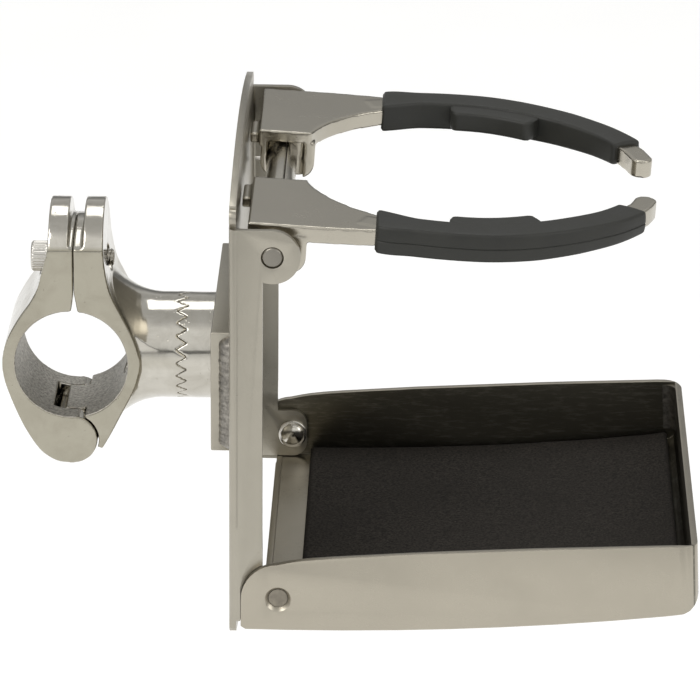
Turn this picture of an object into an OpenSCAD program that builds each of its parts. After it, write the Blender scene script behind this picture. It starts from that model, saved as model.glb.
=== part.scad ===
// Folding rail-mount drink holder: a hinged tube clamp, an indexing swivel,
// a back channel, two folding arms with rubber sleeves, and a folding tray.
// Origin: centre of the clamp bore. +X points out to the drink, +Y runs along
// the rail, +Z is up. All lengths are millimetres.

/* [Rail clamp] */
// Diameter of the rail that the clamp is made for
rail_d = 25.4; // [25.0:0.1:25.4]
// Diameter of the clamp bore when it is closed
bore_d = 25.5; // [25.5:0.05:25.6]
// Length of the clamp along the rail
clamp_w = 25; // [23:0.5:26]
// Height of the clamp screw above the bore axis
screw_z = 21.6; // [21:0.1:22]
// Diameter of the clamp screw thread
screw_d = 4; // [3.5:0.5:4]
// Diameter of the clamp screw head
screw_head_d = 7; // [6.5:0.1:7.2]
// Diameter of the hinge pin under the bore
hinge_pin_d = 4; // [3:0.5:4]

/* [Swivel] */
// Height of the swivel axis above the bore axis
swivel_z = 0.5; // [0:0.1:1]
// Diameter of the two toothed swivel faces
swivel_d = 24.3; // [23.5:0.1:25]
// Number of index teeth around the swivel
teeth = 24; // [24:12:36]
// Axial height of the index teeth at the rim
tooth_h = 2.4; // [2:0.1:2.6]
// Diameter of the swivel bolt
bolt_d = 8; // [6:0.5:8]

/* [Back channel] */
// Outside width of the back channel
channel_w = 100; // [98:0.5:102]
// Sheet thickness of channel and tray walls
sheet_t = 1.5; // [1.2:0.1:1.6]
// Height of the arm pin above the bore axis
arm_pin_z = 40.6; // [40:0.2:42]
// Height of the tray rivets below the bore axis
tray_pin_drop = 40.6; // [40:0.2:41]

/* [Arms] */
// Diameter of the arm pin
arm_pin_d = 5; // [5:0.1:5.2]
// Downward lean of the arms at rest, in degrees
arm_droop = 3.2; // [1:0.2:3.4]
// Thickness of the cast arm root plate
arm_t = 3.8; // [3.4:0.1:4]
// Height of the rubber sleeve section
sleeve_h = 6.5; // [6.2:0.1:6.6]
// Width of the rubber sleeve section
sleeve_w = 8; // [7:0.1:8.2]

/* [Tray] */
// Upward lean of the tray at rest, in degrees
tray_rise = 2.8; // [2:0.2:3]
// Thickness of the foam pad on the tray floor
pad_t = 2.8; // [2:0.1:2.8]

/* [Hidden] */

$fn = 72;
e = 0.01;
br = bore_d / 2;
cw = clamp_w / 2;
// clamp hinge axis, below the bore
hp = [0, -18.4];
knuckle_r = 5.8;
// pitch plane of the swivel teeth
xm = 24.9;
sr = swivel_d / 2;
tooth_gap = 0.3;
// back channel planes
xp = 37.5;
hw = channel_w / 2;
t = sheet_t;
// arm pin and tray rivet positions in X
ax = 47;
az = arm_pin_z;
tx = 48.4;
tz = -tray_pin_drop;
plate_hw = 29;
plate_hz = 14.2;

// ---------- helper functions ----------
// point on a Catmull-Rom curve through a, b, c, d at fraction u between b and c
function cr(a, b, c, d, u) = 0.5 * ((2 * b) + (c - a) * u + (2 * a - 5 * b + 4 * c - d) * u * u + (3 * b - a - 3 * c + d) * u * u * u);
// smooth curve through a list of points, k steps to each span
function smooth(p, k = 5) = [for (i = [0:len(p) - 2]) for (j = [0:k - 1])
  cr(p[max(i - 1, 0)], p[i], p[i + 1], p[min(i + 2, len(p) - 1)], j / k), p[len(p) - 1]];
function unit(v) = v / norm(v);
// both sides of a band of half-width w along the centre line c
function band(c, w0, w1) = let (n = len(c), nn = [for (i = [0:n - 1])
    let (d = unit(c[min(i + 1, n - 1)] - c[max(i - 1, 0)])) [-d[1], d[0]]])
  concat([for (i = [0:n - 1]) c[i] + nn[i] * w0], [for (i = [n - 1:-1:0]) c[i] - nn[i] * w1]);

// a cylinder along X, from x0 to x1
module xcyl(d, x0, x1, y = 0, z = 0, f = 72) translate([x0, y, z]) rotate([0, 90, 0]) cylinder(d = d, h = x1 - x0, $fn = f);
// a cylinder along Y, from y0 to y1
module ycyl(d, y0, y1, x = 0, z = 0, f = 72) translate([x, y0, z]) rotate([-90, 0, 0]) cylinder(d = d, h = y1 - y0, $fn = f);
// a profile drawn in X and Z, pushed along Y from y0 to y1
module yext(y0, y1) translate([0, y1, 0]) rotate([90, 0, 0]) linear_extrude(y1 - y0) children();
// a profile drawn in Y and Z, pushed along X from x0 to x1
module xext(x0, x1) translate([x0, 0, 0]) rotate([90, 0, 90]) linear_extrude(x1 - x0) children();
module arm_frame() translate([ax, 0, az]) rotate([0, arm_droop, 0]) children();
module tray_frame() translate([tx, 0, tz]) rotate([0, -tray_rise, 0]) children();
module both() { children(); mirror([0, 1, 0]) children(); }
module both_y2() { children(); mirror([0, 1]) children(); }
module both_y() { children(); mirror([1, 0]) children(); }

// ---------- clamp ----------
// outline of the ear lobes seen along X
module lobe_yz() {
  intersection() {
    translate([0, screw_z]) circle(r = 13.8, $fn = 96);
    translate([-cw, screw_z]) square([2 * cw, 20]);
  }
  translate([-cw, -30]) square([2 * cw, screw_z + 30 + e]);
}
// outline of the low web between the lobes, seen along X
module web_yz() {
  intersection() {
    translate([0, 7.1]) circle(r = 24, $fn = 120);
    translate([-cw, 7]) square([2 * cw, 70]);
  }
  translate([-cw, -30]) square([2 * cw, 37 + e]);
}
module hinged_xz() {
  polygon(concat(smooth([[-5.1, 37], [-5.1, 28], [-5.8, 24.7], [-6.5, 22], [-7.4, 18.4],
      [-9.2, 14.8], [-11.6, 11.3], [-13.9, 7.2], [-15.2, 3.6], [-15.7, 0], [-15.3, -3.8],
      [-14, -8], [-11.9, -13.3], [-9.7, -17.6], [-7.4, -21], [-5, -23], [-2.6, -24.0], [0, -24.2]], 5),
    [[0, -12], [0.7, -12], [0.7, 37]]));
  translate(hp) circle(r = knuckle_r, $fn = 72);
}
module fixed_xz() {
  polygon(concat(smooth([[7.4, 37], [7.5, 28], [7.9, 23], [9, 17.6], [11.2, 12.8], [13.5, 8.1],
      [15.1, 3.7], [15.7, 0], [15.2, -3.2], [14, -6.8], [11.3, -12.2], [8.8, -17.2], [6.9, -20.6]], 5),
    [[0, -18], [0.8, -12], [0.8, 37]]));
}
module hinged_xz_cut() {
  // mouth of the split, opening into the bore
  polygon([[0.75, 17.5], [-0.2, 10], [2, 10]]);
}
module clamp_jaw_hinged() color("silver") difference() {
  union() {
    intersection() {
      yext(-cw, cw) hinged_xz();
      union() {
        xext(-30, -0.5) lobe_yz();
        xext(-0.5 - e, 8) web_yz();
      }
    }
  }
  ycyl(bore_d, -cw - 1, cw + 1, f = 120);
  yext(-cw - 1, cw + 1) hinged_xz_cut();
  // slot for the tongue of the fixed jaw
  ycyl(2 * 6.5, -7.3, 7.3, hp[0], hp[1]);
  translate([-4.5, -7.3, -18.4]) cube([11, 14.6, 8]);
  // hinge pin hole, blind at both faces
  ycyl(hinge_pin_d, -10.5, 10.5, hp[0], hp[1]);
  // screw hole, wide enough for the jaw to swing, and recess for the screw head
  xcyl(screw_d + 0.9, -20, 5, 0, screw_z);
  xcyl(screw_head_d + 1.6, -20, -5.7, 0, screw_z);
}
module clamp_jaw_fixed() color("silver") difference() {
  union() {
    difference() {
      intersection() {
        yext(-cw, cw) fixed_xz();
        union() {
          xext(2.9, 30) lobe_yz();
          xext(-1, 2.9 + e) web_yz();
        }
      }
      // the cheeks of the hinged jaw turn in here
      both() ycyl(2 * 6.1, 6.9, cw + 1, hp[0], hp[1]);
      both() translate([-2, 6.9, -18]) cube([5, 7, 8]);
    }
    // tongue round the hinge pin
    intersection() {
      yext(-6.9, 6.9) union() {
        translate(hp) circle(r = 5.5);
        polygon([[-2.2, -15], [-2.2, -13.4], [-1.4, -12.5], [0, -12], [9, -10], [10, -14], [7, -19], [3, -22.5], [0, -22]]);
      }
      translate([-6, -8, -25]) cube([18, 16, 14.5]);
    }
    // swivel neck with its flared root
    intersection() {
      xcyl(swivel_d, 9, xm + tooth_h / 2, 0, swivel_z, 120);
      translate([9, -20, -30]) cube([30, 40, 60]);
    }
    intersection() {
      translate([0, 0, swivel_z]) rotate([0, 90, 0]) rotate_extrude($fn = 120)
        polygon([[0, 8], [18.6, 8], [17.4, 9.2], [16.3, 10.4], [15.3, 11.6], [14.4, 12.9], [13.6, 14.3],
          [13, 15.7], [12.55, 17.2], [12.3, 18.6], [sr, 20], [0, 20]]);
      yext(-cw + 0.7, cw - 0.7) polygon([[8.6, 19.4], [20.5, 19.4], [20.5, -19], [9.5, -15.4]]);
    }
  }
  ycyl(bore_d, -cw - 1, cw + 1, f = 120);
  yext(-cw - 1, cw + 1) hinged_xz_cut();
  ycyl(hinge_pin_d + 0.1, -11, 11, hp[0], hp[1]);
  // threaded screw hole and round pocket at its end
  xcyl(screw_d + 0.06, 0, 20, 0, screw_z);
  xcyl(6.2, 7.0, 20, 0, screw_z);
  // counterbore in the bore wall for the swivel bolt
  xcyl(13.6, 0, 19.4, 0, swivel_z);
  xcyl(bolt_d + 0.1, 10, 40, 0, swivel_z);
  tooth_cut(0);
}
module clamp_hinge_pin() color("gray") ycyl(hinge_pin_d, -10.4, 10.4, hp[0], hp[1]);
module clamp_screw() color("gainsboro") difference() {
  union() {
    xcyl(screw_d, -6, 9.4, 0, screw_z);
    xcyl(screw_head_d - 0.5, -9.7, -9.3, 0, screw_z);
    xcyl(screw_head_d, -9.3 - e, -5.7, 0, screw_z);
  }
  translate([-10, 0, screw_z]) rotate([0, 90, 0]) cylinder(d = 3.4, h = 2.4, $fn = 6);
}

// ---------- swivel ----------
// what is taken from a toothed face: an outer cone that makes the crests lean
// in, a central recess, and the grooves
module tooth_cut(turn) {
  a = atan((180 / teeth) * PI / 180 * sr * 0.92 / tooth_h);
  w = (tooth_h + 2) * tan(a);
  lean = atan(tooth_h / 2 / sr);
  k = tooth_h / 2 / sr;
  translate([xm, 0, swivel_z]) {
    rotate([0, 90, 0]) rotate_extrude($fn = 120) polygon([[6, 6 * k], [sr + 2, (sr + 2) * k], [sr + 2, 4], [6, 4]]);
    translate([-1.6, 0, 0]) rotate([0, 90, 0]) cylinder(h = 5.6, r = 7, $fn = 72);
    for (i = [0:teeth - 1]) rotate([(i + turn) * 360 / teeth, 0, 0]) rotate([0, 0, lean])
      rotate([-90, 0, 0]) translate([0, 0, 5.5]) linear_extrude(sr - 3)
        polygon([[0, 0], [tooth_h + 2, w], [tooth_h + 2, -w]]);
  }
}
module swivel_stub() color("darkgray") difference() {
  xcyl(swivel_d, xm - tooth_h / 2 + tooth_gap, xp - 5, 0, swivel_z, 120);
  translate([2 * xm + tooth_gap, 0, 0]) mirror([1, 0, 0]) tooth_cut(0.5);
  xcyl(bolt_d + 0.1, 10, 40, 0, swivel_z);
}
module swivel_bolt() color("silver") difference() {
  union() {
    xcyl(12.6, 13.4, 17.4, 0, swivel_z);
    xcyl(bolt_d, 17.3, xp - 2.2, 0, swivel_z);
  }
  translate([13, 0, swivel_z]) rotate([0, 90, 0]) cylinder(d = 5.8, h = 2.6, $fn = 6);
}
module swivel_lock_washer() color("gray") difference() {
  xcyl(12.8, 17.4, 19.4, 0, swivel_z);
  xcyl(bolt_d, 16, 21, 0, swivel_z);
  // split of the spring washer
  translate([17, 3, swivel_z - 0.4]) cube([3, 5, 0.8]);
}
module base_plate() color("darkgray") difference() {
  translate([xp - 5, -plate_hw, swivel_z - plate_hz]) cube([5, 2 * plate_hw, 2 * plate_hz]);
  xcyl(bolt_d + 0.1, xp - 6, xp - 2, 0, swivel_z);
}
module base_plate_welds() color("darkgray") both() intersection() {
  translate([xp, plate_hw, swivel_z - plate_hz + 0.6]) cylinder(r = 3.4, h = 2 * plate_hz - 1.2, $fn = 48);
  translate([xp - 4, plate_hw, -30]) cube([4, 5, 60]);
}

// ---------- back channel ----------
module flange_xz() {
  difference() {
    union() {
      translate([xp, -28]) square([7.4, 28 + az + 6.1]);
      translate([xp, -46]) square([2.5, 20]);
      translate([xp, az]) square([ax - xp, 6.1]);
      translate([ax, az]) circle(r = 6.1);
      translate([xp, -38]) square([7.4, 12]);
    }
    // clearance round the rear corner of the tray wall
    intersection() {
      translate([55.1, -39.3]) circle(r = 15.15);
      translate([xp + 2.5, -60]) square([20, 60]);
    }
  }
}
// plan of the channel, with its two bends
module channel_xy() difference() {
  union() {
    translate([xp + 2, -hw]) square([20, 2 * hw]);
    translate([xp, -hw + 2]) square([20, 2 * hw - 4]);
    both_y2() translate([xp + 2, hw - 2]) circle(r = 2);
  }
  translate([xp + t + 0.5, -hw + t]) square([30, 2 * hw - 2 * t]);
  translate([xp + t, -hw + t + 0.5]) square([30, 2 * hw - 2 * t - 1]);
  both_y2() translate([xp + t + 0.5, hw - t - 0.5]) circle(r = 0.5);
}
// lower ear, set in behind the tray wall
module ear_xz() {
  translate([xp, tz - 5.8]) square([8, 11.6]);
  translate([tx, tz + 2.3]) circle(r = 3.5);
  translate([tx, tz - 2.3]) circle(r = 3.5);
  translate([xp + 1, tz - 5.8]) square([tx - xp - 1, 11.6]);
  translate([tx - 3, tz - 2.3]) square([6.5, 4.6]);
}
module back_channel() color("silver") difference() {
  union() {
    // panel with its arched top and bottom
    xext(xp, xp + t) intersection() {
      translate([0, 56.3 - 206]) circle(r = 206, $fn = 240);
      translate([0, 206 - 55.3]) circle(r = 206, $fn = 240);
      union() {
        translate([-hw + 1.8, -47.6]) square([2 * hw - 3.6, 47.6 + 48.4]);
        both_y() translate([hw - 3.8, 48.4]) circle(r = 2);
        both_y() translate([hw - 3.8, -47.6]) circle(r = 2);
        translate([-hw + 3.8, -60]) square([2 * hw - 7.6, 120]);
      }
    }
    // flanges, bent from the panel, with the upper ears
    intersection() {
      translate([0, 0, -60]) linear_extrude(120) channel_xy();
      yext(-hw, hw) flange_xz();
    }
    both() {
      // lower ear with the joggle that sets it in
      intersection() {
        yext(hw - 4, hw) union() {
          ear_xz();
          translate([xp, tz + 4]) square([7.4, 14]);
        }
        xext(xp + t - e, xp + 20) polygon([[hw, -23.4], [hw, -24.4], [hw - 1.65, -30.4], [hw - 1.65, -50],
          [hw - 1.65 - t, -50], [hw - 1.65 - t, -29.9], [hw - t, -23.9], [hw - t, -23.4]]);
      }
    }
  }
  ycyl(arm_pin_d, -hw - 1, hw + 1, ax, az);
  ycyl(4, -hw - 1, hw + 1, tx, tz);
  // relief notches at the top of the bends
  both() translate([xp - 1, hw - t - 1.2, az + 6.1]) cube([5, 1.2, 0.9]);
}
module arm_pin() color("silver") {
  ycyl(arm_pin_d, -hw + 0.5, hw - 0.5, ax, az);
  both() translate([ax, hw - 0.5 - e, az]) rotate([-90, 0, 0]) cylinder(d1 = arm_pin_d, d2 = arm_pin_d - 1, h = 0.5, $fn = 72);
}
module arm_pin_spacer() color("silver") difference() {
  ycyl(6.6, -18.0, 18.0, ax, az);
  ycyl(arm_pin_d, -20, 20, ax, az);
  // seam of the rolled tube
  translate([ax + 0.9, -20, az + 1]) cube([0.25, 40, 6]);
}
module arm_thrust_washers() color("dimgray") both() difference() {
  ycyl(9.6, hw - t - 2.1, hw - t, ax, az);
  ycyl(arm_pin_d, 20, 60, ax, az);
}

// ---------- arms ----------
arm_line = smooth([[19, 39.2], [22, 40.4], [28, 42.4], [36, 43.5], [44, 43.6], [50, 42.6], [56, 40.5],
  [62.4, 37.2], [67, 34.1], [72, 30], [75.3, 26.4], [78.3, 22.2], [80.4, 18.2], [81.7, 14.2]], 4);
// centre line as far as the end of the sleeve
sleeve_line = [for (p = arm_line) if (p[0] > 22.3 && p[0] < 78.4) p];
bar_h = 4.2;
bar_z = 2.2;
sleeve_z = 1.1;
// plan of one arm, seen from above, on the +Y side
module arm_root_xy() polygon(concat([[-5.8, 45.8], [-5.8, 15.8], [6.2, 15.8]],
  smooth([[6.2, 15.8], [7.6, 19.6], [10.4, 24.6], [15.6, 30.6], [21.5, 34.9], [25.5, 37.3], [29, 39.6]], 4),
  [[30, 42.6], [26, 44.6], [21, 45.4], [10, 46.0]]));
module arm_bar_xy() polygon(band(arm_line, 2.5, 2.5));
module lug_xz() {
  translate([-1.5, -1.2]) circle(r = 3.7);
  translate([3.5, -1.2]) circle(r = 3.7);
  translate([-1.5, -4.9]) square([5, 8]);
  translate([-5.2, -1.2]) square([12.4, 5]);
}
module arm() color("darkgray") difference() {
  union() {
    translate([0, 0, 6.3 - arm_t]) linear_extrude(arm_t) arm_root_xy();
    translate([0, 0, bar_z]) linear_extrude(bar_h) arm_bar_xy();
    translate([81.7, 14.2, bar_z]) cylinder(r = 2.5, h = bar_h, $fn = 48);
    // lugs round the pin
    yext(15.8, 20.4) lug_xz();
    yext(41.4, 46.1) lug_xz();
    // heel that rests on the panel when the arm is up
    translate([-7.75, 17.2, 2.5]) cube([3, 9, 2.4]);
  }
  ycyl(arm_pin_d + 0.1, 10, 50);
  // window in the inner lug, round the end of the spacer
  translate([-3.6, 15, -5.2]) cube([8.3, 3.1, 8.8]);
  // room for the spring coil under the root plate
  ycyl(2 * 4.3, 20.4, 41.4);
}
module arm_far() arm_frame() arm();
module arm_near() mirror([0, 1, 0]) arm_far();
pad_line = [for (p = sleeve_line) if (p[0] > 37 && p[0] < 60) p];
module sleeve() color("dimgray") difference() {
  union() {
    translate([0, 0, sleeve_z]) linear_extrude(sleeve_h) {
      polygon(band(sleeve_line, sleeve_w / 2, sleeve_w / 2));
      // wider cuff where the sleeve meets the root
      polygon([[21.8, 34.7], [26, 37.4], [32, 39.4], [32, 47.2], [21.8, 46.2]]);
    }
    // gripping pad on the inner face
    translate([0, 0, sleeve_z + 1.4]) linear_extrude(sleeve_h - 1.8) polygon(band(pad_line, -2, 9));
  }
  translate([0, 0, bar_z]) linear_extrude(bar_h) arm_bar_xy();
  translate([0, 0, 6.3 - arm_t]) linear_extrude(arm_t) arm_root_xy();
}
module sleeve_far() arm_frame() sleeve();
module sleeve_near() mirror([0, 1, 0]) sleeve_far();

// ---------- arm springs ----------
spring_wire = 1;
spring_r = 3.25;
spring_turns = 6;
// round wire wound on the pin: fixed leg to the panel, coil, moving leg under
// the root plate, as one swept ring of points
spring_pitch = 1.15;
function ring(c, u, v, r, n) = [for (i = [0:n - 1]) c + r * cos(360 * i / n) * u + r * sin(360 * i / n) * v];
module spring() color("silver") translate([ax, 24.2, az]) {
  n = spring_turns * 20 + 2;
  s = 8;
  last = 360 * n / 20 - 90;
  line = concat(
    [[-90, [-7.3, 0, -spring_r]]],
    [for (k = [0:n]) let (a = 360 * k / 20 - 90) [a, [spring_r * cos(a), spring_pitch * k / 20, spring_r * sin(a)]]],
    [[last, [spring_r * cos(last), spring_pitch * n / 20, spring_r * sin(last)] + 6.8 * [-sin(last), 0, cos(last)]]]);
  m = len(line);
  pts = [for (p = line) each ring(p[1], [cos(p[0]), 0, sin(p[0])], [0, 1, 0], spring_wire / 2, s)];
  faces = concat([[for (i = [s - 1:-1:0]) i]],
    [for (k = [0:m - 2]) for (i = [0:s - 1]) let (a = k * s + i, b = k * s + (i + 1) % s) each [[a, b, b + s], [a, b + s, a + s]]],
    [[for (i = [0:s - 1]) (m - 1) * s + i]]);
  polyhedron(points = pts, faces = faces, convexity = 6);
}
module arm_spring_far() spring();
module arm_spring_near() mirror([0, 1, 0]) spring();

// ---------- tray ----------
// side wall outline about the rivet centre
module wall_xz() difference() {
  polygon(concat(
    [for (a = [90:9:180]) 8.3 * [cos(a), sin(a)]],
    [[-8.62, -6.2], [-7.6, floor_z(-7.6)]],
    tray_skin,
    [[93.7, 9.4], [92.2, 9.7]],
    smooth([[88, 9.9], [60, 10.1], [30, 9.9], [8, 9.3], [0, 8.3]], 4)));
  circle(d = 4);
}
// underside of the floor: a shallow bow
function floor_z(x) = -8.4 + 1.9 * pow((x - 38) / 52, 2);
// outer skin of the sheet, from the rear edge of the floor up into the end wall
tray_skin = concat([for (x = [-4:6:88]) [x, floor_z(x)]],
  [[90.2, -6.4], [91.6, -5.9], [92.7, -5.0], [93.4, -3.9], [93.7, -2.6]]);
module floor_xz() polygon(concat(tray_skin,
  [[93.7, 9.4], [92.2, 9.7], [92.2, -2.8], [91.7, -4.1], [90.6, -4.9]],
  [for (x = [86:-6:2]) [x, floor_z(x) + 1.3]],
  [[-2.6, floor_z(-2.6) + 1.3], [-2.6, -4.6], [-4, -4.6]]));
// outer plan of the tray, with its rounded corners
module tray_xy() polygon(concat([[-20, -hw]],
  [for (a = [-90:7.5:0]) [93.7 - corner_r + corner_r * cos(a), -hw + corner_r + corner_r * sin(a)]],
  [for (a = [0:7.5:90]) [93.7 - corner_r + corner_r * cos(a), hw - corner_r + corner_r * sin(a)]],
  [[-20, hw]]));
corner_r = 4.5;
module tray() color("silver") tray_frame() difference() {
  intersection() {
    translate([0, 0, -20]) linear_extrude(40) tray_xy();
    union() {
      both() yext(hw - t, hw) wall_xz();
      yext(-hw + t / 2, hw - t / 2) floor_xz();
    }
  }
  // countersink for the clinched end of each rivet
  both() translate([0, hw, 0]) rotate([90, 0, 0]) cylinder(d1 = 5.9, d2 = 3.9, h = 1.2, $fn = 72);
  // lip is cut back at both ends
  both() translate([-8, 40, -5.8]) cube([6.5, hw - t - 40, 4]);
}
// weld metal that fills the inside of the two end corners
module tray_corner_welds() color("gainsboro") tray_frame() both() translate([0, 0, -2.2]) linear_extrude(11.2) difference() {
  translate([89.2, 45.5]) square([3, 3]);
  translate([89.2, 45.5]) circle(r = 3);
}
module tray_pad() color("#2b2a28") tray_frame() yext(-47.2, 47.2) polygon(concat(
  [[4.3, floor_z(4.3) + 1.33]], [for (x = [8:6:86]) [x, floor_z(x) + 1.32]], [[88.3, -5.15]],
  [for (x = [88.3:-5.6:4]) [x, floor_z(x) + 1.3 + pad_t]]));
// rivets: domed head inside the ear, clinched end in the tray wall
module tray_rivets() color("silver") both() {
  ycyl(3.9, hw - 4.2, hw - 1.15, tx, tz);
  translate([tx, hw - 1.15 - e, tz]) rotate([-90, 0, 0]) cylinder(d1 = 3.9, d2 = 4.3, h = 0.3, $fn = 72);
  difference() {
    translate([tx, hw - 3.65 - 1.5, tz]) rotate([-90, 0, 0]) rotate_extrude($fn = 72)
      polygon(concat([[0, 0]], [for (a = [0:10:60]) [2.7 * sin(a * 1.5), 1.3 - 1.3 * cos(a * 1.5)]], [[2.7, 1.2], [0, 1.2]]));
  }
}
module tray_rivet_washers() color("silver") both() difference() {
  ycyl(6.9, hw - 3.95, hw - 3.15, tx, tz);
  ycyl(4, 30, 60, tx, tz);
}

clamp_jaw_fixed();
clamp_jaw_hinged();
clamp_hinge_pin();
clamp_screw();
swivel_bolt();
swivel_lock_washer();
swivel_stub();
base_plate();
base_plate_welds();
back_channel();
arm_pin();
arm_pin_spacer();
arm_thrust_washers();
arm_spring_near();
arm_spring_far();
arm_near();
arm_far();
sleeve_near();
sleeve_far();
tray();
tray_corner_welds();
tray_rivets();
tray_rivet_washers();
tray_pad();
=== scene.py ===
import math
import random

import bmesh
import bpy
from mathutils import Matrix, Vector, noise


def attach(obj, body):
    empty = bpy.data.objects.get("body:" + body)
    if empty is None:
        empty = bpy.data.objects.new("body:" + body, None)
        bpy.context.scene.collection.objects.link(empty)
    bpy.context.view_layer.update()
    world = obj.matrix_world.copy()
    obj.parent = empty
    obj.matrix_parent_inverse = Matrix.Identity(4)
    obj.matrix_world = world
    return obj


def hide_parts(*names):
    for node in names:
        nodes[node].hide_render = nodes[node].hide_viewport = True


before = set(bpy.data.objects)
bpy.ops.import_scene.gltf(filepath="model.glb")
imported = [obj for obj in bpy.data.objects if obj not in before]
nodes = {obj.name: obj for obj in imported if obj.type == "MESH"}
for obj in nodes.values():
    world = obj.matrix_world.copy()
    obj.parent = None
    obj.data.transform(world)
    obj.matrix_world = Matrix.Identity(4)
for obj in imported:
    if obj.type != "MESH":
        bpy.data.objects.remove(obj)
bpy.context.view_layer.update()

MM = 0.001
scene = bpy.context.scene

# ---------------------------------------------------------------- camera
AZ, EL, ROLL = math.radians(-1.123), math.radians(21.572), math.radians(0.484)
fw = Vector((math.sin(AZ) * math.cos(EL), math.cos(AZ) * math.cos(EL), -math.sin(EL)))
right = fw.cross(Vector((0, 0, 1))).normalized()
up = right.cross(fw)
r2 = right * math.cos(ROLL) + up * math.sin(ROLL)
u2 = -right * math.sin(ROLL) + up * math.cos(ROLL)
target = Vector((63.027, 0, -0.312)) * MM
place = target - fw * 1.13695
cam_data = bpy.data.cameras.new("camera")
cam = bpy.data.objects.new("camera", cam_data)
scene.collection.objects.link(cam)
cam.matrix_world = Matrix(((r2.x, u2.x, -fw.x, place.x), (r2.y, u2.y, -fw.y, place.y), (r2.z, u2.z, -fw.z, place.z), (0, 0, 0, 1)))
cam_data.sensor_width = 36
cam_data.lens = 4964.67 * 36 / 700
cam_data.clip_start, cam_data.clip_end = 0.05, 20
scene.camera = cam


# ---------------------------------------------------------------- materials
class Mat:
    """A node material built up step by step."""

    def __init__(self, name):
        self.m = bpy.data.materials.new(name)
        self.m.use_nodes = True
        self.t = self.m.node_tree
        self.n = self.t.nodes
        self.b = self.n["Principled BSDF"]
        self.co = self.n.new("ShaderNodeTexCoord").outputs["Object"]

    def link(self, a, b):
        self.t.links.new(a, b)

    def mapped(self, scale, rotation=(0, 0, 0), location=(0, 0, 0)):
        n = self.n.new("ShaderNodeMapping")
        n.inputs["Scale"].default_value = scale
        n.inputs["Rotation"].default_value = rotation
        n.inputs["Location"].default_value = location
        self.link(self.co, n.inputs["Vector"])
        return n.outputs[0]

    def noise(self, scale, detail=2, rough=0.5, vec=None, distortion=0.0):
        n = self.n.new("ShaderNodeTexNoise")
        n.inputs["Scale"].default_value = scale
        n.inputs["Detail"].default_value = detail
        n.inputs["Roughness"].default_value = rough
        n.inputs["Distortion"].default_value = distortion
        self.link(vec or self.co, n.inputs["Vector"])
        return n.outputs["Fac"]

    def voronoi(self, scale, feature="F1", vec=None):
        n = self.n.new("ShaderNodeTexVoronoi")
        n.feature = feature
        n.inputs["Scale"].default_value = scale
        self.link(vec or self.co, n.inputs["Vector"])
        return n.outputs["Distance"]

    def map(self, value, a, b, c, d):
        n = self.n.new("ShaderNodeMapRange")
        for i, x in zip(("From Min", "From Max", "To Min", "To Max"), (a, b, c, d)):
            n.inputs[i].default_value = x
        self.link(value, n.inputs["Value"])
        return n.outputs["Result"]

    def math(self, op, a, b=None):
        n = self.n.new("ShaderNodeMath")
        n.operation = op
        for i, x in enumerate((a, b)):
            if x is None:
                continue
            if isinstance(x, (int, float)):
                n.inputs[i].default_value = x
            else:
                self.link(x, n.inputs[i])
        return n.outputs[0]

    def mix(self, fac, a, b):
        n = self.n.new("ShaderNodeMix")
        n.data_type = "RGBA"
        for s, x in ((n.inputs[0], fac), (n.inputs[6], a), (n.inputs[7], b)):
            if isinstance(x, (tuple, list)):
                s.default_value = (*x, 1)
            elif isinstance(x, (int, float)):
                s.default_value = x
            else:
                self.link(x, s)
        return n.outputs[2]

    def mixf(self, fac, a, b):
        n = self.n.new("ShaderNodeMix")
        n.data_type = "FLOAT"
        for s, x in ((n.inputs[0], fac), (n.inputs[2], a), (n.inputs[3], b)):
            if isinstance(x, (int, float)):
                s.default_value = x
            else:
                self.link(x, s)
        return n.outputs[0]

    def bump(self, height, strength, distance, normal=None):
        n = self.n.new("ShaderNodeBump")
        n.inputs["Strength"].default_value = strength
        n.inputs["Distance"].default_value = distance
        self.link(height, n.inputs["Height"])
        if normal:
            self.link(normal, n.inputs["Normal"])
        return n.outputs[0]

    def done(self, color=None, rough=None, normal=None, metallic=1.0):
        self.b.inputs["Metallic"].default_value = metallic
        for k, x in (("Base Color", color), ("Roughness", rough), ("Normal", normal)):
            if x is None:
                continue
            if isinstance(x, (tuple, list)):
                self.b.inputs[k].default_value = (*x, 1)
            elif isinstance(x, (int, float)):
                self.b.inputs[k].default_value = x
            else:
                self.link(x, self.b.inputs[k])
        return self.m


def tray_inside(m):
    """1 on the inner faces of the tray's walls, 0 elsewhere: where the painted shade inside the tray goes."""
    sep = m.n.new("ShaderNodeSeparateXYZ")
    m.link(m.co, sep.inputs[0])
    y = m.math("ABSOLUTE", sep.outputs["Y"])
    c, s = math.cos(math.radians(2.8)), math.sin(math.radians(2.8))
    along = m.math("ADD", m.math("MULTIPLY", sep.outputs["X"], c), m.math("MULTIPLY", sep.outputs["Z"], s))
    along = m.math("ADD", along, -0.0484 * c + 0.0406 * s)
    side = m.math("MULTIPLY", m.map(y, 0.04852, 0.04862, 1, 0), m.map(y, 0.0479, 0.0481, 0, 1))
    end = m.math("MULTIPLY", m.map(along, 0.09222, 0.09232, 1, 0), m.map(along, 0.0885, 0.0887, 0, 1))
    end = m.math("MULTIPLY", end, m.map(y, 0.04852, 0.04862, 1, 0))
    return m.math("MAXIMUM", side, end)


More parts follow.
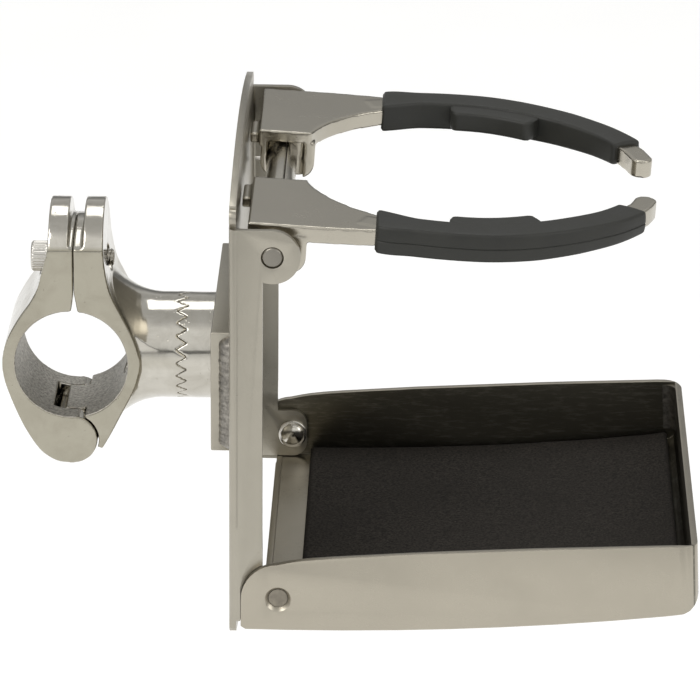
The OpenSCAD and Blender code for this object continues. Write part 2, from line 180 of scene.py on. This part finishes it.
def steel(name, color=(0.60, 0.575, 0.52), rough=0.3, grain=(0, 0, 0), grain_rough=0.06, wave=0.0, pits=0.0, tint=0.06, inside=None):
    """Stainless steel: brushed grain along local X of the given rotation, blotchy handling marks, fine pits; with
    inside, painted shade on the tray's inner walls.
    """
    m = Mat(name)
    fine = m.noise(1.0, 3, 0.6, m.mapped((900, 14000, 14000), grain))
    broad = m.noise(38, 3, 0.55)
    smudge = m.noise(120, 4, 0.62, None, 0.8)
    v = m.map(broad, 0.3, 0.7, -tint, tint)
    dark = tuple(c * (1 - tint * 2.0) for c in color)
    col = m.mix(m.map(broad, 0.34, 0.66, 0, 1), dark, color)
    col = m.mix(m.map(fine, 0.35, 0.65, 0, 0.16), col, tuple(min(1, c * 1.14) for c in color))
    r = m.map(fine, 0.3, 0.7, rough - grain_rough, rough + grain_rough)
    r = m.math("ADD", r, m.map(smudge, 0.45, 0.75, -0.015, 0.075))
    normal = m.bump(fine, 0.10, 0.00004)
    if wave:
        normal = m.bump(m.noise(70, 2, 0.5), wave, 0.0012, normal)
    if pits:
        p = m.map(m.voronoi(1500), 0.0, 0.22, 0, 1)
        gate = m.map(m.noise(420, 2, 0.5), 0.52, 0.62, 0, 1)
        h = m.math("SUBTRACT", 1.0, m.math("MULTIPLY", m.math("SUBTRACT", 1.0, p), gate))
        normal = m.bump(h, pits, 0.00008, normal)
    if inside:
        # the inner faces of the walls are painted dark brown-grey: painted shade inside the tray, broken up by streaks
        k = tray_inside(m)
        shade_scratch = m.map(m.noise(1.0, 4, 0.7, m.mapped((260, 260, 1500))), 0.50, 0.72, 0, 1)
        col = m.mix(k, col, m.mix(shade_scratch, (0.175, 0.163, 0.130), (0.30, 0.283, 0.238)))
        r = m.mixf(k, r, 0.30)
    return m.done(col, r, normal)


SHEET = (0.425, 0.392, 0.325)
mat_sheet = steel("satin_sheet", SHEET, 0.33, (0, 0, 0), 0.06, tint=0.03, inside=True)
mat_panel = steel("satin_panel", (0.405, 0.380, 0.322), 0.34, (0, math.pi / 2, 0), 0.07, tint=0.035)
mat_turned = steel("turned", (0.50, 0.475, 0.415), 0.20, (0, 0, math.pi / 2), 0.05)
mat_arm = steel("arm_satin", (0.46, 0.43, 0.365), 0.21, (0, 0, 0.3), 0.04, tint=0.035)
# the arm pin is the turned steel's colour at half brightness: painted shade under the arm roots
mat_pin = steel("pin_dull_painted_shade", (0.25, 0.235, 0.205), 0.36, (0, 0, 0), 0.05, tint=0.06)
mat_bright = steel("bright", (0.60, 0.58, 0.54), 0.17, (0, 0, 0), 0.03, tint=0.03)


def cast(name, bore):
    """Polished casting with faint waves and pits; the rail bore is left blasted and rough."""
    m = Mat(name)
    wave = m.noise(95, 2, 0.5)
    smudge = m.noise(150, 4, 0.62, None, 0.8)
    col = m.mix(m.map(smudge, 0.4, 0.75, 0, 1), (0.56, 0.538, 0.485), (0.46, 0.437, 0.385))
    normal = m.bump(wave, 0.30, 0.0011)
    pit = m.map(m.voronoi(1100), 0.0, 0.20, 0, 1)
    gate = m.map(m.noise(300, 2, 0.5), 0.56, 0.64, 0, 1)
    h = m.math("SUBTRACT", 1.0, m.math("MULTIPLY", m.math("SUBTRACT", 1.0, pit), gate))
    normal = m.bump(h, 0.5, 0.0001, normal)
    rough = m.map(smudge, 0.35, 0.75, 0.09, 0.20)
    if bore:
        sep = m.n.new("ShaderNodeSeparateXYZ")
        m.link(m.co, sep.inputs[0])
        # the two flat ends were only linished, so they are duller than the rest
        flat = m.map(m.math("ABSOLUTE", sep.outputs["Y"]), 0.0120, 0.0124, 0, 1)
        col = m.mix(flat, col, m.mix(m.map(smudge, 0.4, 0.75, 0, 1), (0.395, 0.372, 0.305), (0.335, 0.312, 0.252)))
        rough = m.mixf(flat, rough, 0.20)
        x, z = sep.outputs["X"], sep.outputs["Z"]
        r = m.math("SQRT", m.math("ADD", m.math("MULTIPLY", x, x), m.math("MULTIPLY", z, z)))
        inside = m.map(r, 0.01286, 0.01302, 1, 0)
        blast = m.noise(1500, 4, 0.75)
        col = m.mix(inside, col, m.mix(m.map(blast, 0.36, 0.64, 0, 1), (0.24, 0.226, 0.20), (0.62, 0.595, 0.54)))
        rough = m.mixf(inside, rough, 0.46)
        normal = m.bump(m.math("MULTIPLY", blast, inside), 0.8, 0.0003, normal)
    return m.done(col, rough, normal)


mat_cast = cast("cast_polished", True)
mat_stub = cast("cast_turned", False)
rm = Mat("rivet_steel")
rs = rm.n.new("ShaderNodeSeparateXYZ")
rm.link(rm.co, rs.inputs[0])
# the rivet ends outside the walls are bright steel; the parts inside the tray are painted dark as painted shade, like
# the tray's inner walls
outer = rm.map(rm.math("ABSOLUTE", rs.outputs["Y"]), 0.0468, 0.0472, 0, 1)
rn = rm.noise(500, 4, 0.6)
mat_rivet = rm.done(rm.mix(outer, (0.56, 0.535, 0.48), rm.mix(rm.map(rn, 0.4, 0.7, 0, 1), (0.27, 0.245, 0.20), (0.19, 0.17, 0.14))),
                    rm.mixf(outer, 0.16, 0.40), rm.bump(rn, 0.25, 0.0002))
wm = Mat("weld_grey")
wn1 = wm.noise(900, 4, 0.6)
mat_weld = wm.done(wm.mix(wm.map(wn1, 0.35, 0.65, 0, 1), (0.16, 0.15, 0.135), (0.34, 0.32, 0.285)), 0.42, wm.bump(wn1, 0.6, 0.0002))

rubber = Mat("rubber")
rb = rubber.noise(5200, 2, 0.6)
rv = rubber.noise(160, 3, 0.55)
rubber.done(rubber.mix(rubber.map(rv, 0.3, 0.7, 0, 1), (0.0135, 0.0138, 0.0112), (0.0205, 0.0208, 0.0170)),
            rubber.map(rv, 0.3, 0.7, 0.46, 0.60), rubber.bump(rb, 0.22, 0.00005), 0.0)
rubber.b.inputs["Specular IOR Level"].default_value = 0.45
foam = Mat("foam")
fb = foam.voronoi(2600)
fc = foam.noise(1700, 4, 0.75)
fv = foam.noise(60, 3, 0.6)
grain = foam.mix(foam.map(fc, 0.35, 0.65, 0, 1), (0.0055, 0.0050, 0.0044), (0.046, 0.040, 0.034))
speck = foam.map(foam.voronoi(480), 0.0, 0.10, 1, 0)
grain = foam.mix(foam.math("MULTIPLY", speck, foam.map(foam.noise(900, 2, 0.5), 0.56, 0.60, 0, 1)), grain, (0.11, 0.10, 0.088))
foam.done(foam.mix(foam.map(fv, 0.3, 0.7, 0, 0.45), grain, (0.019, 0.0168, 0.0146)),
          0.92, foam.bump(fb, 0.5, 0.00012), 0.0)
foam.b.inputs["Specular IOR Level"].default_value = 0.2

# ---------------------------------------------------------------- stage
fm = Mat("floor")
fn = fm.noise(9, 2, 0.5)
fm.done(fm.mix(fm.map(fn, 0.3, 0.7, 0, 1), (0.90, 0.90, 0.90), (0.92, 0.92, 0.92)), 0.9, None, 0.0)
fm.b.inputs["Emission Color"].default_value = (1, 1, 1, 1)
fm.b.inputs["Emission Strength"].default_value = 0.18
bpy.ops.mesh.primitive_grid_add(x_subdivisions=4, y_subdivisions=4, size=14, location=(0, 0, -0.30))
floor = bpy.context.object
floor.name = "floor"
floor.data.materials.append(fm.m)


def area(name, loc, at, size, power, color=(1, 1, 1), size_y=None):
    d = bpy.data.lights.new(name, "AREA")
    d.shape = "RECTANGLE"
    d.size, d.size_y = size, size_y or size
    d.energy = power
    d.color = color
    o = bpy.data.objects.new(name, d)
    scene.collection.objects.link(o)
    o.location = loc
    o.rotation_mode = "QUATERNION"
    o.rotation_quaternion = (Vector(at) - Vector(loc)).to_track_quat("-Z", "Y")
    return o


area("key", (-0.9, -1.0, 1.5), (0.05, 0, 0), 0.9, 11, (1.0, 0.98, 0.95))
area("fill", (1.5, -0.6, 0.9), (0.05, 0, 0), 0.8, 4, (1.0, 0.99, 0.97))
area("back", (0.1, 1.0, 2.0), (0.05, 0, 0), 1.0, 7)

world = bpy.data.worlds.new("studio")
scene.world = world
world.use_nodes = True
wn, wl = world.node_tree.nodes, world.node_tree.links
bg = wn["Background"]
tc = wn.new("ShaderNodeTexCoord")
sep = wn.new("ShaderNodeSeparateXYZ")
ramp = wn.new("ShaderNodeValToRGB")
wl.new(tc.outputs["Generated"], sep.inputs[0])
mr = wn.new("ShaderNodeMapRange")
mr.inputs["From Min"].default_value = -1
mr.inputs["From Max"].default_value = 1
wl.new(sep.outputs["Z"], mr.inputs["Value"])
wl.new(mr.outputs[0], ramp.inputs[0])
el = ramp.color_ramp.elements
el[0].position, el[0].color = 0.0, (0.9, 0.9, 0.9, 1)
el[1].position, el[1].color = 1.0, (0.55, 0.55, 0.54, 1)
for p, c in ((0.495, 0.80), (0.52, 0.24), (0.58, 0.18), (0.66, 0.42), (0.71, 0.62), (0.76, 0.55), (0.84, 0.50), (0.92, 0.60)):
    x = el.new(p)
    x.color = (c, c, c * 0.985, 1)
front = wn.new("ShaderNodeValToRGB")
wl.new(mr.outputs[0], front.inputs[0])
el = front.color_ramp.elements
el[0].position, el[0].color = 0.0, (0.9, 0.9, 0.9, 1)
el[1].position, el[1].color = 1.0, (0.60, 0.60, 0.59, 1)
for p, c in ((0.495, 0.80), (0.51, 0.12), (0.55, 0.20), (0.575, 0.85), (0.70, 1.0), (0.90, 1.0), (0.97, 0.62)):
    x = el.new(p)
    x.color = (c, c, c * 0.985, 1)
# the side behind the camera is the brighter one
side = wn.new("ShaderNodeMapRange")
side.inputs["From Min"].default_value = -0.12
side.inputs["From Max"].default_value = 0.12
wl.new(sep.outputs["Y"], side.inputs["Value"])
both = wn.new("ShaderNodeMix")
both.data_type = "RGBA"
wl.new(side.outputs[0], both.inputs[0])
wl.new(front.outputs[0], both.inputs[6])
wl.new(ramp.outputs[0], both.inputs[7])
wl.new(both.outputs[2], bg.inputs["Color"])
bg.inputs["Strength"].default_value = 1.0
scene.view_settings.view_transform = "Standard"
scene.view_settings.look = "None"
scene.view_settings.exposure = 0.0

# ---------------------------------------------------------------- carried-over nodes
FINISH = {
    "clamp_jaw_fixed": mat_cast, "clamp_jaw_hinged": mat_cast, "arm_near": mat_arm, "arm_far": mat_arm,
    "back_channel": mat_panel, "tray": mat_sheet, "base_plate": mat_panel, "swivel_stub": mat_stub,
    "tray_corner_welds": mat_weld, "arm_pin_spacer": mat_turned, "arm_pin": mat_pin, "tray_rivets": mat_rivet, "arm_thrust_washers": mat_turned,
}
for name, o in nodes.items():
    o.data.materials.clear()
    o.data.materials.append(FINISH.get(name, mat_bright))


def softened(o, voxel, rounds, factor=0.5):
    """Rounds a casting: an even skin over it, relaxed a little so that every edge rolls over."""
    m = o.modifiers.new("skin", "REMESH")
    m.mode = "VOXEL"
    m.voxel_size = voxel * MM
    m.use_smooth_shade = True
    m = o.modifiers.new("relax", "SMOOTH")
    m.factor = factor
    m.iterations = rounds


def edged(o, width, segments=3):
    """Takes the sharpness off the edges of sheet and turned parts."""
    m = o.modifiers.new("weld", "WELD")
    m.merge_threshold = 0.004 * MM
    m = o.modifiers.new("flat", "DECIMATE")
    m.decimate_type = "DISSOLVE"
    m.angle_limit = math.radians(0.6)
    m = o.modifiers.new("edge", "BEVEL")
    m.width = width * MM
    m.segments = segments
    m.limit_method = "ANGLE"
    m.angle_limit = math.radians(32)
    m.harden_normals = True
    m.use_clamp_overlap = True


for n, voxel, rounds in (("clamp_jaw_fixed", 0.28, 4), ("clamp_jaw_hinged", 0.26, 10), ("swivel_stub", 0.22, 2),
                         ("arm_near", 0.26, 10), ("arm_far", 0.26, 10)):
    softened(nodes[n], voxel, rounds)
for n, width in (("back_channel", 0.3), ("tray", 0.3), ("base_plate", 0.35), ("arm_pin", 0.2), ("arm_pin_spacer", 0.15),
                 ("arm_thrust_washers", 0.2), ("tray_rivets", 0.15), ("tray_rivet_washers", 0.2), ("swivel_bolt", 0.3),
                 ("swivel_lock_washer", 0.2), ("clamp_hinge_pin", 0.3)):
    edged(nodes[n], width)
for n in ("arm_spring_near", "arm_spring_far"):
    m = nodes[n].modifiers.new("round", "SUBSURF")
    m.levels = m.render_levels = 1
for n, o in nodes.items():
    o.data.polygons.foreach_set("use_smooth", [True] * len(o.data.polygons))


# ---------------------------------------------------------------- detailed pieces
def build(name, verts, faces, mat, body, slot, stands_for, smooth=True, crease=None):
    me = bpy.data.meshes.new(name)
    me.from_pydata([tuple(v) for v in verts], [], faces)
    me.validate()
    bm = bmesh.new()
    bm.from_mesh(me)
    bmesh.ops.recalc_face_normals(bm, faces=bm.faces)
    bm.to_mesh(me)
    bm.free()
    o = bpy.data.objects.new(name, me)
    scene.collection.objects.link(o)
    me.materials.append(mat)
    if smooth:
        me.polygons.foreach_set("use_smooth", [True] * len(me.polygons))
        if crease:
            me.set_sharp_from_angle(angle=math.radians(crease))
    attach(o, body)
    if stands_for:
        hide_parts(*stands_for)
    return o


def loft(rings, closed=True):
    """Vertices and faces of a closed tube through rings of equal length, capped at both ends."""
    n = len(rings[0])
    verts = [v for r in rings for v in r]
    faces = []
    for k in range(len(rings) - 1):
        for i in range(n):
            j = (i + 1) % n
            faces.append((k * n + i, k * n + j, (k + 1) * n + j, (k + 1) * n + i))
    # caps: a fan about the middle of each end
    for k in (0, len(rings) - 1):
        c = sum((Vector(v) for v in rings[k]), Vector()) / n
        verts.append(c)
        faces += [(len(verts) - 1, k * n + i, k * n + (i + 1) % n) for i in range(n)]
    return verts, faces


def joined(*parts):
    verts, faces = [], []
    for v, f in parts:
        b = len(verts)
        verts += v
        faces += [tuple(i + b for i in q) for q in f]
    return verts, faces


def catmull(pts, k):
    out = []
    for i in range(len(pts) - 1):
        a, b, c, d = (Vector(pts[max(i - 1, 0)]), Vector(pts[i]), Vector(pts[i + 1]), Vector(pts[min(i + 2, len(pts) - 1)]))
        for j in range(k):
            u = j / k
            out.append(0.5 * ((2 * b) + (c - a) * u + (2 * a - 5 * b + 4 * c - d) * u * u + (3 * b - a - 3 * c + d) * u ** 3))
    out.append(Vector(pts[-1]))
    return out


ARM_LINE = [(19, 39.2), (22, 40.4), (28, 42.4), (36, 43.5), (44, 43.6), (50, 42.6), (56, 40.5),
            (62.4, 37.2), (67, 34.1), (72, 30), (75.3, 26.4), (78.3, 22.2), (80.4, 18.2), (81.7, 14.2)]
DROOP = math.radians(3.2)


def arm_point(x, y, z, side):
    return Vector((47 + x * math.cos(DROOP) + z * math.sin(DROOP), y * side, 40.6 - x * math.sin(DROOP) + z * math.cos(DROOP))) * MM


def profile(y0, y1, z0, z1, r, groove):
    """Rounded section between y0 (inner) and y1 (outer), with a moulding line half way up the outer side."""
    pts = []
    for cy, cz, a0 in ((y1 - r, z1 - r, 0), (y0 + r, z1 - r, 90), (y0 + r, z0 + r, 180), (y1 - r, z0 + r, 270)):
        for k in range(5):
            a = math.radians(a0 + 22.5 * k)
            pts.append((cy + r * math.cos(a), cz + r * math.sin(a)))
        if a0 == 90 or a0 == 270:
            pass
        if a0 == 0:
            for f in (0.35, 0.65):
                pts.append((y1 - r + f * (y0 - y1 + 2 * r), z1 + 0.12))
    zm = z0 + 0.47 * (z1 - z0)
    # outer side, from bottom to top: pulled in at the parting line
    for dz, d in ((-0.9, 0.12), (-0.22, 0.16), (0, -groove), (0.22, 0.16), (0.9, 0.12)):
        pts.append((y1 + d, zm + dz))
    return pts


def sleeve(side, name, body, stands_for):
    line = [p for p in catmull(ARM_LINE, 10) if 21.6 < p.x < 78.6]
    rings = []
    n = len(line)
    lens = [0.0]
    for a, b in zip(line, line[1:]):
        lens.append(lens[-1] + (b - a).length)
    total = lens[-1]
    for i, p in enumerate(line):
        s = lens[i] / total
        d = (line[min(i + 1, n - 1)] - line[max(i - 1, 0)]).normalized()
        q = min(1.0, max(0.0, (p.x - 22.5) / 9))
        ease = q * q * (3 - 2 * q)
        # the root end is cut square across the arm
        d = Vector((d.x * ease + (1 - ease), d.y * ease, 0)).normalized() if len(d) == 3 else Vector((d.x * ease + (1 - ease), d.y * ease)).normalized()
        nrm = Vector((-d.y, d.x))
        inner = 4.0 + 1.55 * (1 - ease) - 0.35 * s
        outer = 4.0 + 1.45 * (1 - ease) - 0.25 * s
        z0, z1 = 1.1 + 0.9 * max(0, s - 0.55) / 0.45, 7.55 - 0.35 * max(0, s - 0.7) / 0.3
        grow = 1.0
        edge = min(lens[i], total - lens[i])
        shrink = 0.0 if edge > 0.9 else 0.55 * (1 - math.sqrt(max(0.0, 1 - ((0.9 - edge) / 0.9) ** 2)))
        sec = profile(-inner + shrink, outer - shrink, z0 + shrink, z1 - shrink, 0.75, 0.03)
        rings.append([arm_point(p.x + nrm.x * u, p.y + nrm.y * u, v, side) for u, v in sec])
    body_mesh = loft(rings)
    # gripping pad on the inner face
    pad = [p for p in catmull(ARM_LINE, 14) if 37.6 < p.x < 60.4]
    rings = []
    m = len(pad)
    span = [0.0]
    for a, b in zip(pad, pad[1:]):
        span.append(span[-1] + (b - a).length)
    for i, p in enumerate(pad):
        d = (pad[min(i + 1, m - 1)] - pad[max(i - 1, 0)]).normalized()
        nrm = Vector((-d.y, d.x))
        edge = min(span[i], span[-1] - span[i])
        c = 1.7
        back = 0.0 if edge > c else c * (1 - math.sqrt(max(0.0, 1 - ((c - edge) / c) ** 2)))
        y0, y1, z0, z1, r = -8.9 + back, -2.4, 2.5, 7.15, 0.8
        if edge < 0.5:
            z0 += 0.25
            z1 -= 0.25
        sec = []
        for cy, cz, a0 in ((y1 - r, z1 - r, 0), (y0 + r, z1 - r, 90), (y0 + r, z0 + r, 180), (y1 - r, z0 + r, 270)):
            for k in range(5):
                a = math.radians(a0 + 22.5 * k)
                sec.append((cy + r * math.cos(a), cz + r * math.sin(a)))
        rings.append([arm_point(p.x + nrm.x * u, p.y + nrm.y * u, v, side) for u, v in sec])
    pad_mesh = loft(rings)
    return build(name, *joined(body_mesh, pad_mesh), rubber.m, body, "rubber", stands_for, crease=38)


sleeve(1, "rubber_sleeve_far", "far_arm", ["sleeve_far"])
sleeve(-1, "rubber_sleeve_near", "near_arm", ["sleeve_near"])

# foam pad
RISE = math.radians(2.8)


def tray_point(x, y, z):
    return Vector((48.4 + x * math.cos(RISE) - z * math.sin(RISE), y, -40.6 + x * math.sin(RISE) + z * math.cos(RISE))) * MM


def floor_z(x):
    return -8.4 + 1.9 * ((x - 38) / 52) ** 2


def rest_z(x):
    """Height of the tray floor's upper face, where it starts to turn up at the end."""
    return max(floor_z(x) + 1.33, -5.43 + 0.126 * (x - 86)) if x > 80 else floor_z(x) + 1.33


def foam_pad():
    nx, ny = 90, 100
    x0, x1, yw, thick, r = 4.3, 90.0, 47.1, 2.75, 0.9
    xs = [x0 + (x1 - x0) * (0.5 - 0.5 * math.cos(math.pi * i / nx)) * 0.35 + (x1 - x0) * (i / nx) * 0.65 for i in range(nx + 1)]
    ys = [-yw + 2 * yw * ((0.5 - 0.5 * math.cos(math.pi * j / ny)) * 0.35 + 0.65 * j / ny) for j in range(ny + 1)]
    verts, faces, top = [], [], {}
    for i, x in enumerate(xs):
        for j, y in enumerate(ys):
            edge = min(x - x0, x1 - x, yw - abs(y))
            drop = 0 if edge > r else r * (1 - math.sqrt(max(0.0, 1 - ((r - edge) / r) ** 2)))
            n = noise.noise(Vector((x * 0.09, y * 0.09, 3.1))) * 0.16 + noise.noise(Vector((x * 1.3, y * 1.3, 8.0))) * 0.035
            w = 0.12 * noise.noise(Vector((x * 0.11, y * 0.11, 20.0))) if edge < 0.01 else 0
            top[i, j] = len(verts)
            verts.append(tray_point(x, y, rest_z(x) + thick - drop * 0.75 - 0.12 + n * (1 if edge > r else 0.4)))
    for i in range(nx):
        for j in range(ny):
            faces.append((top[i, j], top[i + 1, j], top[i + 1, j + 1], top[i, j + 1]))
    loop = [(i, 0) for i in range(nx)] + [(nx, j) for j in range(ny)] + [(i, ny) for i in range(nx, 0, -1)] + [(0, j) for j in range(ny, 0, -1)]
    levels = []
    for f in (0.55, 0.0):
        row = []
        for i, j in loop:
            x, y = xs[i], ys[j]
            row.append(len(verts))
            verts.append(tray_point(x, y, rest_z(x) + f * 1.6))
        levels.append(row)
    prev = [top[i, j] for i, j in loop]
    for row in levels:
        for k in range(len(loop)):
            n = (k + 1) % len(loop)
            faces.append((prev[k], prev[n], row[n], row[k]))
        prev = row
    under = {}
    for k, (i, j) in enumerate(loop):
        under[i, j] = prev[k]
    for i in range(nx + 1):
        for j in range(ny + 1):
            if (i, j) not in under:
                under[i, j] = len(verts)
                verts.append(tray_point(xs[i], ys[j], rest_z(xs[i])))
    for i in range(nx):
        for j in range(ny):
            faces.append((under[i, j], under[i, j + 1], under[i + 1, j + 1], under[i + 1, j]))
    o = build("foam_pad", verts, faces, foam.m, "tray_body", "foam", ["tray_pad"])
    return o


foam_pad()


# weld beads of the base plate: overlapping ripples, a little uneven
def bead(side, seed):
    rng = random.Random(seed)
    rings = []
    z0, z1, steps = -13.1, 14.1, 150
    pitch = 1.75
    for k in range(steps + 1):
        f = k / steps
        z = z0 + (z1 - z0) * f
        ph = (z / pitch) % 1.0
        ripple = 0.22 * (ph ** 0.55) * (1 - ph ** 6)
        end = min(k, steps - k) / 9
        s = math.sqrt(min(1.0, max(0.02, end)))
        wob = 0.16 * noise.noise(Vector((z * 0.42, side * 3.0, seed)))
        r = (3.0 + ripple + wob) * s
        ring = []
        for a in range(13):
            t = math.radians(90 * a / 12)
            bulge = 1 - 0.05 * math.sin(2 * t)
            ring.append(Vector((37.45 - r * bulge * math.sin(t), side * (28.95 + r * bulge * math.cos(t)), z)) * MM)
        ring.append(Vector((37.45, side * 28.7, z)) * MM)
        ring.insert(0, Vector((37.5, side * (28.95 + r), z)) * MM)
        rings.append(ring)
    return loft(rings)


build("weld_beads", *joined(bead(1, 4), bead(-1, 9)), mat_weld, "holder", "steel_cast", ["base_plate_welds"])


# clamp screw: knurled head with a hex socket, thread on the shank
def screw():
    rings = []
    z = 21.6
    n = 192

    def ring(x, radius, knurl=0.0, hexa=False, thread=None):
        out = []
        for i in range(n):
            a = 2 * math.pi * i / n
            r = radius
            if knurl:
                r -= knurl * (0.5 - 0.5 * math.cos(32 * a))
            if hexa:
                b = (a % (math.pi / 3)) - math.pi / 6
                r = radius / math.cos(b)
            if thread is not None:
                ph = ((x / 0.7) + i / n) % 1.0
                r = radius - 0.36 * abs(2 * ph - 1)
            out.append(Vector((x, r * math.cos(a), z + r * math.sin(a))) * MM)
        return out

    rings.append(ring(-7.3, 1.68, hexa=True))
    rings.append(ring(-9.35, 1.70, hexa=True))
    rings.append(ring(-9.62, 1.95))
    rings.append(ring(-9.66, 2.6))
    rings.append(ring(-9.62, 3.1))
    rings.append(ring(-9.35, 3.38))
    for k in range(9):
        rings.append(ring(-9.1 + 3.0 * k / 8, 3.48, knurl=0.17))
    rings.append(ring(-5.85, 3.42))
    rings.append(ring(-5.72, 3.3))
    rings.append(ring(-5.7, 2.0))
    for k in range(150):
        rings.append(ring(-5.6 + 14.7 * k / 149, 2.0, thread=1))
    rings.append(ring(9.38, 1.3))
    return loft(rings)


build("clamp_screw_detail", *screw(), mat_bright, "clamp_screw_body", "steel_polished", ["clamp_screw"], crease=50)
